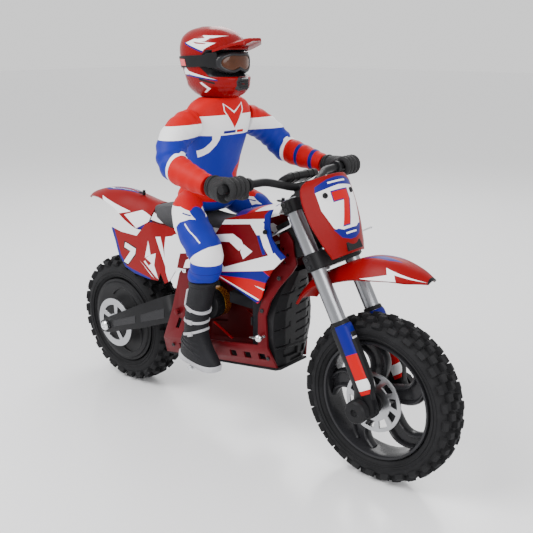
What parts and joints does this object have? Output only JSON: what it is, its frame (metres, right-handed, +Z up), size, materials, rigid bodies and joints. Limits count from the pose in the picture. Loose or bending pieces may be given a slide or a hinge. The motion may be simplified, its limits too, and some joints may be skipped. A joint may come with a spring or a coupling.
{
  "type": "radio-controlled motorcycle",
  "caption": "Quarter-scale radio-controlled dirt bike with a rider figure: steering fork, sprung swingarm, chain drive, spoked front wheel.",
  "frame": {"origin": "on the ground, under the centre of the bounding box", "axes": "+X forward, +Y to the rider's left, +Z up"},
  "size_m": [0.513, 0.202, 0.4134],
  "materials": {
    "anodised_red": "anodised satin",
    "body_red": "moulded gloss with printed panels",
    "black_nylon": "moulded satin",
    "grey_nylon": "moulded satin",
    "tyre_rubber": "matt rubber",
    "steel": "brushed",
    "fork_chrome": "polished",
    "spring_red": "powder coat",
    "motor_can": "anodised",
    "electronics": "moulded",
    "horn_white": "moulded",
    "suit": "printed riding suit",
    "boot_black": "moulded satin",
    "glove_grey": "moulded textured",
    "helmet_red": "clear-coated paint",
    "goggle_black": "satin frame, tinted lens"
  },
  "bodies": {
    "chassis": {"chassis_plate_right": "anodised_red", "chassis_plate_left": "anodised_red", "skid_plate": "black_nylon", "front_cover": "black_nylon", "battery_pack": "electronics", "speed_controller": "electronics", "steering_servo": "electronics", "motor": "motor_can", "headstock": "black_nylon", "swingarm_bolt": "steel", "seat": "grey_nylon", "tank_cover": "body_red", "side_panel_right": "body_red", "side_panel_left": "body_red", "rear_fender": "body_red", "inner_mudguard": "black_nylon", "footpeg_right": "steel", "footpeg_left": "steel", "torso": "suit", "trousers": "suit", "boot_right": "boot_black", "boot_left": "boot_black", "sleeve_right": "suit", "sleeve_left": "suit", "helmet": "helmet_red", "helmet_peak": "helmet_red", "goggles": "goggle_black"},
    "countershaft": {"countershaft": "steel"},
    "motor_rotor": {"motor_pinion": "steel"},
    "servo_horn": {"servo_horn": "horn_white"},
    "drag_link": {"drag_link": "steel"},
    "swing": {"swingarm": "black_nylon", "rear_axle": "steel", "chain": "steel"},
    "rear_wheel": {"rear_tyre": "tyre_rubber", "rear_rim": "black_nylon", "rear_disc": "steel", "rear_sprocket": "steel"},
    "gyro": {"gyro_flywheel": "steel"},
    "shock_body": {"shock_body": "steel", "shock_spring": "spring_red"},
    "shock_rod": {"shock_rod": "steel"},
    "steering": {"upper_clamp": "black_nylon", "lower_clamp": "black_nylon", "steering_stem": "steel", "fork_tube_right": "fork_chrome", "fork_tube_left": "fork_chrome", "number_plate": "body_red", "front_fender": "body_red", "handlebar": "black_nylon", "bar_clamp": "black_nylon", "bar_pad": "black_nylon", "glove_right": "glove_grey", "glove_left": "glove_grey"},
    "fork_lower": {"fork_leg_right": "body_red", "fork_leg_left": "body_red", "front_axle": "steel"},
    "front_wheel": {"front_tyre": "tyre_rubber", "front_rim": "black_nylon", "front_disc": "steel"}
  },
  "joints": [
    {"name": "steering", "type": "hinge", "parent": "chassis", "child": "steering", "pos_m": [0.17288, 0, 0.07953], "axis": [-0.4894, 0, 0.8721], "range_deg": [-20, 20], "deforming": ["sleeve_right", "sleeve_left"]},
    {"name": "fork_travel", "type": "slide", "parent": "steering", "child": "fork_lower", "axis": [-0.4894, 0, 0.8721], "range_m": [0, 0.02], "stiffness_N_per_m": 900, "springref_m": -0.035},
    {"name": "front_wheel_spin", "type": "hinge", "parent": "fork_lower", "child": "front_wheel", "pos_m": [0.1755, 0, 0.081], "axis": [0, 1, 0], "continuous": true},
    {"name": "swingarm_pivot", "type": "hinge", "parent": "chassis", "child": "swing", "pos_m": [-0.0635, 0, 0.119], "axis": [0, 1, 0], "range_deg": [0, 10], "stiffness_Nm_per_rad": 14, "springref_deg": -17.19},
    {"name": "rear_wheel_spin", "type": "hinge", "parent": "swing", "child": "rear_wheel", "pos_m": [-0.1795, 0, 0.077], "axis": [0, 1, 0], "continuous": true},
    {"name": "gyro_spin", "type": "hinge", "parent": "swing", "child": "gyro", "pos_m": [-0.1795, 0, 0.077], "axis": [0, 1, 0], "continuous": true},
    {"name": "countershaft_spin", "type": "hinge", "parent": "chassis", "child": "countershaft", "pos_m": [-0.0635, 0, 0.119], "axis": [0, 1, 0], "continuous": true},
    {"name": "motor_spin", "type": "hinge", "parent": "chassis", "child": "motor_rotor", "pos_m": [-0.03763, 0, 0.1274], "axis": [0, 1, 0], "continuous": true},
    {"name": "servo_turn", "type": "hinge", "parent": "chassis", "child": "servo_horn", "pos_m": [0.13277, 0, 0.05702], "axis": [-0.4894, 0, 0.8721], "range_deg": [-20, 20]},
    {"name": "link_turn", "type": "hinge", "parent": "servo_horn", "child": "drag_link", "pos_m": [0.13277, -0.023, 0.05702], "axis": [-0.4894, 0, 0.8721], "range_deg": [-20, 20]},
    {"name": "shock_swing", "type": "hinge", "parent": "chassis", "child": "shock_body", "pos_m": [-0.0475, 0, 0.172], "axis": [0, 1, 0], "range_deg": [-0.01, 1.68]},
    {"name": "shock_travel", "type": "slide", "parent": "shock_body", "child": "shock_rod", "axis": [0.6402, 0, 0.7682], "range_m": [0, 0.00399], "deforming": ["shock_spring"]}
  ],
  "couplings": [
    {"joint": "countershaft_spin", "follows": "rear_wheel_spin", "ratio": 2.4},
    {"joint": "motor_spin", "follows": "rear_wheel_spin", "ratio": -5.76},
    {"joint": "servo_turn", "follows": "steering", "ratio": 1},
    {"joint": "link_turn", "follows": "steering", "ratio": -1},
    {"joint": "shock_swing", "follows": "swingarm_pivot", "ratio": 0.1636},
    {"joint": "shock_travel", "follows": "swingarm_pivot", "m_per_rad": 0.02239}
  ]
}
